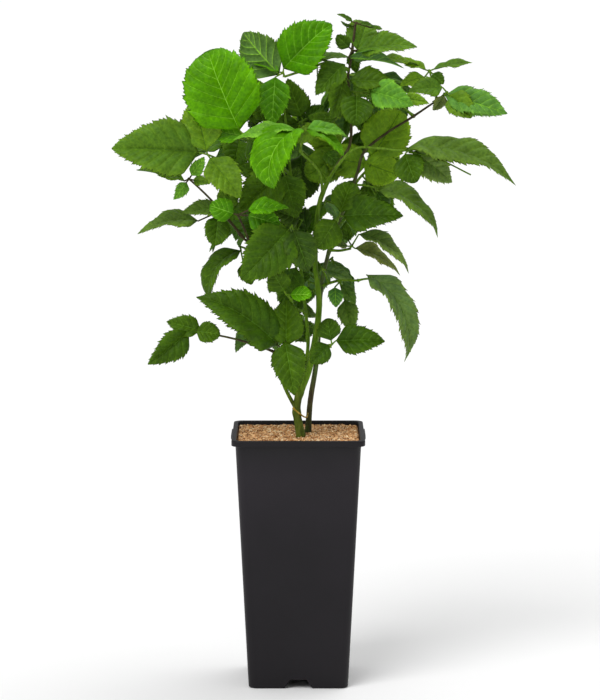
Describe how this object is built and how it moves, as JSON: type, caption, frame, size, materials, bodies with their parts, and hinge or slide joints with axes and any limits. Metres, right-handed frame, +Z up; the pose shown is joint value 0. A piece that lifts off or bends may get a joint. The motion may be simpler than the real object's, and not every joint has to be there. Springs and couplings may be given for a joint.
{
  "type": "potted bramble plant",
  "caption": "Leafy bramble bush with large toothed leaves on slim canes, growing in a tall square plastic pot.",
  "frame": {"origin": "centre of the pot's flat underside", "axes": "+Z up; the front of the plant faces -Y, and +X is to its right as seen from the front"},
  "size_m": [0.4012, 0.2711, 0.6793],
  "materials": {
    "pot_plastic": "satin",
    "compost": "rough",
    "bark_mulch": "rough",
    "green_bark": "satin",
    "dark_bark": "satin",
    "foliage": "satin",
    "back_foliage": "satin",
    "bright_foliage": "satin"
  },
  "bodies": {
    "root": {"pot": "pot_plastic", "compost": "compost", "mulch": "bark_mulch", "green_cane": "green_bark", "dark_cane": "dark_bark", "left_branch": "green_bark", "slim_cane": "green_bark", "top_bough": "green_bark", "right_bough": "dark_bark", "leaf_mass_top": "foliage", "leaf_mass_upper_left": "foliage", "leaf_mass_upper_middle": "foliage", "leaf_mass_right_tip": "foliage", "leaf_mass_right": "foliage", "leaf_mass_right_inner": "foliage", "leaf_mass_middle_right": "foliage", "leaf_mass_right_hanging": "foliage", "leaf_mass_lower_right": "foliage", "leaf_mass_foot_right": "foliage", "leaf_mass_foot_left": "foliage", "leaf_mass_front": "bright_foliage", "leaf_mass_left_wing": "foliage", "leaf_mass_left": "foliage", "leaf_mass_round": "foliage", "leaf_mass_middle_left": "foliage", "leaf_mass_inner_low": "foliage", "leaf_mass_inner_left": "foliage", "leaf_mass_inner_right": "foliage", "leaf_mass_back_low": "back_foliage", "leaf_mass_back_lower": "back_foliage", "leaf_mass_back_middle_left": "back_foliage", "leaf_mass_back_middle_right": "back_foliage", "leaf_mass_back_upper_left": "back_foliage", "leaf_mass_back_upper_right": "back_foliage", "leaf_mass_back_crown_left": "back_foliage", "leaf_mass_back_crown": "back_foliage"}
  },
  "joints": []
}
